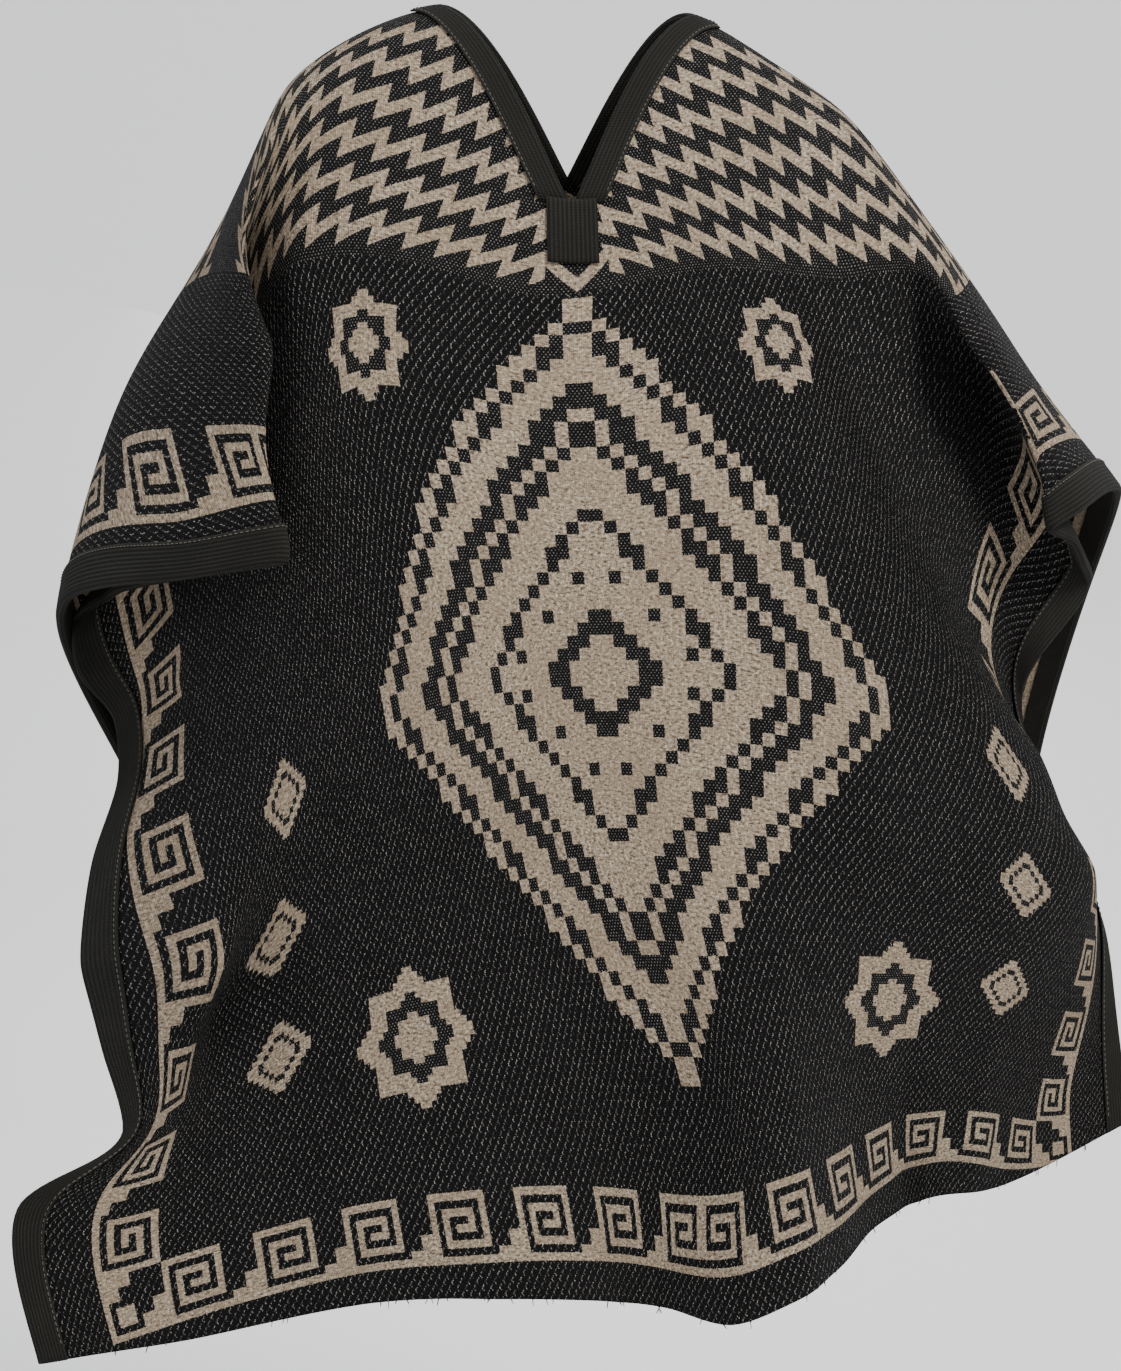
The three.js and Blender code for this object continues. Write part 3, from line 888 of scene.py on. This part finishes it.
def tape(name, edge, wide, ribs, vFrom, vTo, inward, inner=1):
    # edge(v) is the u of the cloth's edge; inward is +1 where the cloth lies at larger u
    section = tapeSection(wide, ribs, inner)
    rows = round(abs(vTo - vFrom) / binding["alongStep"]) + 1
    shape = bmesh.new()
    made = bmesh.ops.create_grid(shape, x_segments=len(section) - 1, y_segments=rows - 1, size=0.5)
    verts = list(made["verts"])
    column = [round((vert.co.x + 0.5) * (len(section) - 1)) for vert in verts]
    row = [round((vert.co.y + 0.5) * (rows - 1)) for vert in verts]
    part = np.array([section[k] for k in column])
    v = vFrom + (vTo - vFrom) * np.array(row) / (rows - 1)
    rim = edge(v)
    inside = np.maximum(part[:, 0], 0)
    beyond = np.maximum(-part[:, 0], 0)
    u = rim + inward * inside
    place = clothPlace(u, v)
    out = clothFacing(u, v)
    away = clothPlace(rim, v) - clothPlace(rim + inward * binding["probe"], v)
    away /= np.linalg.norm(away, axis=1)[:, None]
    place = place + out * part[:, 1:2] + away * beyond[:, None]
    layer = shape.loops.layers.uv.new("flat")
    index = {vert: k for k, vert in enumerate(verts)}
    for face in shape.faces:
        for loop in face.loops:
            k = index[loop.vert]
            loop[layer].uv = (part[k, 2] * mm, v[k] * mm)
    for vert, spot in zip(verts, place):
        vert.co = spot * mm
    shape.normal_update()
    first = min(shape.faces, key=lambda f: sum(loop[layer].uv[0] for loop in f.loops))
    inAt = np.array([np.mean([part[index[loop.vert], 0] for loop in first.loops])])
    vAt = np.array([np.mean([v[index[loop.vert]] for loop in first.loops])])
    if np.dot(first.normal, clothFacing(edge(vAt) + inward * inAt, vAt)[0]) < 0:
        bmesh.ops.reverse_faces(shape, faces=shape.faces)
    piece = newPiece(name, shape, [ribbedTape])
    thicken(piece, binding["wall"], binding["wallOffset"])
    return piece


def sideEdge(hand):
    return lambda v: hand * cloth["width"] / 2 + 0 * v


def slitEdge(hand):
    return lambda v: hand * cloth["neckHalf"] * np.maximum(0, 1 - np.abs(v) / cloth["slitDepth"])


def sideTape(name, hand):
    half = cloth["length"]
    return tape(name, sideEdge(hand), binding["sideWide"], binding["ribsSide"], -half, half, -hand)


def neckTape(name, hand):
    start, stop = binding["neckFrom"], binding["neckTo"]
    wide, ribs, inner = binding["neckWide"], binding["ribsNeck"], binding["neckInner"]
    return tape(name, slitEdge(hand), wide, ribs, start, stop, hand, inner)


sideBandLeft = sideTape("sideTapeLeft", -1)
sideBandRight = sideTape("sideTapeRight", 1)
neckBandLeft = neckTape("neckTapeLeft", -1)
neckBandRight = neckTape("neckTapeRight", 1)

# the square patch over the foot of the slit
patchSize = {
    "wide": 35,
    "from": 141,
    "to": 184,
    "out": 5.2,
    "wall": 1.1,
    "ribs": 11,
    "rib": 0.25,
    "pointsPerRib": 6,
    "rows": 16,
    "sink": 1.6,
    "sinkRim": 0.08,
}


def neckPatch():
    shape = bmesh.new()
    columns = patchSize["ribs"] * patchSize["pointsPerRib"]
    bmesh.ops.create_grid(shape, x_segments=columns, y_segments=patchSize["rows"], size=0.5)
    verts = list(shape.verts)
    x = np.array([vert.co.x for vert in verts])
    y = np.array([vert.co.y for vert in verts])
    u = x * patchSize["wide"]
    v = patchSize["from"] + (y + 0.5) * (patchSize["to"] - patchSize["from"])
    rib = patchSize["rib"] * np.abs(np.sin(np.pi * (x + 0.5) * patchSize["ribs"]))
    rim = patchSize["sinkRim"]
    nearEdge = np.clip((np.maximum(np.abs(x), np.abs(y)) - 0.5 + rim) / rim, 0, 1)
    sink = patchSize["sink"] * nearEdge ** 2
    place = clothPlace(u, v) + clothFacing(u, v) * (patchSize["out"] + rib - sink)[:, None]
    layer = shape.loops.layers.uv.new("flat")
    index = {vert: k for k, vert in enumerate(verts)}
    for face in shape.faces:
        for loop in face.loops:
            k = index[loop.vert]
            loop[layer].uv = (u[k] * mm, v[k] * mm)
    for vert, spot in zip(verts, place):
        vert.co = spot * mm
    shape.normal_update()
    if sum(face.normal.y for face in shape.faces) > 0:
        bmesh.ops.reverse_faces(shape, faces=shape.faces)
    piece = newPiece("neckPatchTape", shape, [ribbedTape])
    thicken(piece, patchSize["wall"], -1)
    return piece


patch = neckPatch()
print("tapes and patch made")

# lockstitches along the tapes, and short ends of yarn at the hem
sewing = {
    "long": 3.0,
    "every": 4.2,
    "thick": 0.42,
    "fromEdge": 1.9,
    "lift": 0.35,
    "margin": 2,
    "samples": 700,
    "sideTo": 890,
    "neckTo": 139,
    "shape": ((0, -0.3), (0.25, 0.8), (0.75, 0.8), (1, -0.3)),
    "colour": (0.13, 0.122, 0.10),
}

ends = {
    "count": 90,
    "long": (2, 6),
    "thick": 0.4,
    "within": 505,
    "rootIn": 0.8,
    "probe": 5,
    "lean": 0.7,
    "curl": (-0.35, 0.5),
    "shares": (-0.15, 0.2, 0.6, 1),
    "colour": (0.42, 0.38, 0.33),
    "darkColour": (0.02, 0.019, 0.018),
}


def yarnMaterial(name, colour):
    material, tree, shader = newMaterial(name, 0.9, 0.02)
    coords = tree.nodes.new("ShaderNodeTexCoord").outputs["Object"]
    mottle = noise(tree, coords, 900, 2)
    darker = tuple(part * 0.55 for part in colour)
    tree.links.new(blend(tree, mottle, darker, colour), shader.inputs["Base Color"])
    reliefBump(tree, shader, mottle, 0.0003)
    return material


sewingThread = yarnMaterial("sewingThread", sewing["colour"])
paleYarn = yarnMaterial("paleYarn", ends["colour"])
darkYarn = yarnMaterial("darkYarn", ends["darkColour"])


def strand(shape, points, thick, number=0):
    # a short round strand through a few points, closed and slimmer at both ends
    points = [Vector(point) for point in points]
    last = len(points) - 1
    made = bmesh.ops.create_circle(shape, cap_ends=True, segments=5, radius=thick)
    face = made["verts"][0].link_faces[0]
    ring = {vert: vert.co.copy() for vert in face.verts}
    for place, point in enumerate(points):
        along = (points[min(place + 1, last)] - points[max(place - 1, 0)]).normalized()
        turn = along.to_track_quat("Z", "Y")
        slim = 0.55 if place in (0, last) else 1
        if place:
            grown = bmesh.ops.extrude_face_region(shape, geom=[face], use_keep_orig=place == 1)
            face = next(part for part in grown["geom"] if isinstance(part, bmesh.types.BMFace))
            ring = {vert: min(spots, key=lambda spot: (spot[0] - vert.co).length)[1] for vert in face.verts}
        for vert, flat in ring.items():
            vert.co = (point + turn @ (flat * slim)) * mm
        spots = [(vert.co.copy(), flat) for vert, flat in ring.items()]
        for side in [face] + [near for edge in face.edges for near in edge.link_faces]:
            side.material_index = number


def stitchRow(name, u, v, height):
    # stitches lie along a line of cloth places, one every few millimetres
    shape = bmesh.new()
    place = clothPlace(u, v) + clothFacing(u, v) * height
    gone = np.concatenate([[0], np.cumsum(np.linalg.norm(np.diff(place, axis=0), axis=1))])
    margin = sewing["margin"]
    starts = np.arange(margin, gone[-1] - sewing["long"] - margin, sewing["every"])
    out = clothFacing(u, v) * np.sign(height)
    for start in starts:
        points = []
        for share, lift in sewing["shape"]:
            at = start + share * sewing["long"]
            spot = [np.interp(at, gone, place[:, axis]) for axis in range(3)]
            way = [np.interp(at, gone, out[:, axis]) for axis in range(3)]
            points.append([spot[axis] + way[axis] * lift * sewing["lift"] for axis in range(3)])
        strand(shape, points, sewing["thick"])
    bmesh.ops.recalc_face_normals(shape, faces=shape.faces)
    return newPiece(name, shape, [sewingThread])


def edgeStitches(name, edge, wide, inward, reach):
    v = np.linspace(-reach, reach, sewing["samples"])
    u = edge(v) + inward * (wide - sewing["fromEdge"])
    return stitchRow(name, u, v, binding["out"] + binding["wall"] * 0.25 + sewing["lift"])


def hemEnds():
    # ends of cut yarn that stand out a little under the hem
    shape = bmesh.new()
    for number in range(ends["count"]):
        side = random.choice((-1, 1))
        u = np.array([random.uniform(-ends["within"], ends["within"])])
        v = np.array([side * (cloth["length"] - ends["rootIn"])])
        root = clothPlace(u, v)[0]
        down = root - clothPlace(u, v - side * ends["probe"])[0]
        down /= np.linalg.norm(down)
        out = clothFacing(u, v)[0]
        aside = np.cross(down, out)
        long = random.uniform(*ends["long"])
        lean = random.uniform(-ends["lean"], ends["lean"])
        curl = random.uniform(*ends["curl"])
        points = [
            root + (down * share + aside * lean * share + out * curl * share ** 2) * long
            for share in ends["shares"]
        ]
        strand(shape, points, ends["thick"], random.choice((0, 0, 1)))
    bmesh.ops.recalc_face_normals(shape, faces=shape.faces)
    return newPiece("hemEnds", shape, [paleYarn, darkYarn])


trims = [
    edgeStitches("sideStitchesLeft", sideEdge(-1), binding["sideWide"], 1, sewing["sideTo"]),
    edgeStitches("sideStitchesRight", sideEdge(1), binding["sideWide"], -1, sewing["sideTo"]),
    edgeStitches("neckStitchesLeft", slitEdge(-1), binding["neckWide"], -1, sewing["neckTo"]),
    edgeStitches("neckStitchesRight", slitEdge(1), binding["neckWide"], 1, sewing["neckTo"]),
    hemEnds(),
]
print("stitches and yarn ends made:", len(trims), "pieces")

# the solid that each piece stands for
standsFor = {
    frontCloth: "front_panel",
    backCloth: "back_panel",
    sideBandLeft: "side_band_left",
    sideBandRight: "side_band_right",
    neckBandLeft: "neck_band_left",
    neckBandRight: "neck_band_right",
    patch: "neck_patch",
}
for piece, node in standsFor.items():
    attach(piece, "root")
    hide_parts(node)
for piece in trims:
    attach(piece, "root")


def edgeLong(edge, vFrom, vTo):
    v = np.linspace(vFrom, vTo, 200)
    return float(np.linalg.norm(np.diff(clothPlace(edge(v), v), axis=0), axis=1).sum()) * mm


for piece, hand in ((sideBandLeft, -1), (sideBandRight, 1)):
    edgeLong(sideEdge(hand), -900, 900)
for piece, hand in ((neckBandLeft, -1), (neckBandRight, 1)):
    long = edgeLong(slitEdge(hand), binding["neckFrom"], binding["neckTo"])

studio = {
    "floor": -1.42,
    "reach": 7,
    "backdrop": 3.2,
    "bend": 1.2,
    "bendSteps": 24,
    "pale": (0.93, 0.925, 0.915),
    "room": (0.9, 0.93, 1),
    "roomStrength": 0.72,
    "aim": (0.0034, 0, -0.4675),
    "azimuth": -3,
    "elevation": 5,
    "away": 2.1,
    "lens": 75.35,
    "shift": (-9.5 / 1371, -21.5 / 1371),
}

# soft lights: (place, size, power, colour)
lamps = {
    "keyLight": ((1.5, -2.3, 1.9), 1.1, 120, (1, 0.985, 0.96)),
    "fillLight": ((-2.4, -2.0, 0.2), 2.2, 16, (0.95, 0.975, 1)),
    "topLight": ((0.2, 0.3, 2.2), 2.0, 30, (1, 1, 1)),
    "backLight": ((0.4, 2.6, 0.8), 2.2, 40, (1, 1, 1)),
}


def paleStage():
    # a floor that bends up into a backdrop
    shape = bmesh.new()
    reach, bend = studio["reach"], studio["bend"]
    bmesh.ops.create_grid(shape, x_segments=1, y_segments=studio["bendSteps"], size=0.5)
    flatRun = reach + studio["backdrop"] - bend
    for vert in shape.verts:
        along = (vert.co.y + 0.5) * 2 * reach
        vert.co.x = vert.co.x * 2 * reach
        if along < flatRun:
            vert.co.y, vert.co.z = along - reach, 0
        else:
            angle = min((along - flatRun) / bend, math.pi / 2)
            past = max(0, along - flatRun - bend * math.pi / 2)
            vert.co.y = flatRun - reach + bend * math.sin(angle)
            vert.co.z = bend * (1 - math.cos(angle)) + past
        vert.co.z += studio["floor"]
    bmesh.ops.recalc_face_normals(shape, faces=shape.faces)
    material, tree, shader = newMaterial("paleStage", 0.9, 0)
    shader.inputs["Base Color"].default_value = studio["pale"] + (1,)
    newPiece("paleStage", shape, [material])


def softLight(name, place, size, power, colour):
    data = bpy.data.lights.new(name, "AREA")
    data.size = size
    data.energy = power
    data.color = colour
    lamp = bpy.data.objects.new(name, data)
    bpy.context.scene.collection.objects.link(lamp)
    lamp.location = place
    lamp.rotation_euler = (Vector(studio["aim"]) - Vector(place)).to_track_quat("-Z", "Y").to_euler()


def softRoom():
    world = bpy.data.worlds.new("softRoom")
    world.use_nodes = True
    background = world.node_tree.nodes["Background"]
    background.inputs["Color"].default_value = studio["room"] + (1,)
    background.inputs["Strength"].default_value = studio["roomStrength"]
    bpy.context.scene.world = world


def camera():
    azimuth, elevation = math.radians(studio["azimuth"]), math.radians(studio["elevation"])
    level = math.cos(elevation)
    way = Vector((math.sin(azimuth) * level, -math.cos(azimuth) * level, math.sin(elevation)))
    data = bpy.data.cameras.new("camera")
    data.lens = studio["lens"]
    data.sensor_fit = "AUTO"
    data.shift_x, data.shift_y = studio["shift"]
    viewer = bpy.data.objects.new("camera", data)
    bpy.context.scene.collection.objects.link(viewer)
    viewer.location = Vector(studio["aim"]) + way * studio["away"]
    viewer.rotation_euler = (-way).to_track_quat("-Z", "Y").to_euler()
    bpy.context.scene.camera = viewer


paleStage()
for name, lamp in lamps.items():
    softLight(name, *lamp)
softRoom()
camera()
print("stage, lights and camera set")
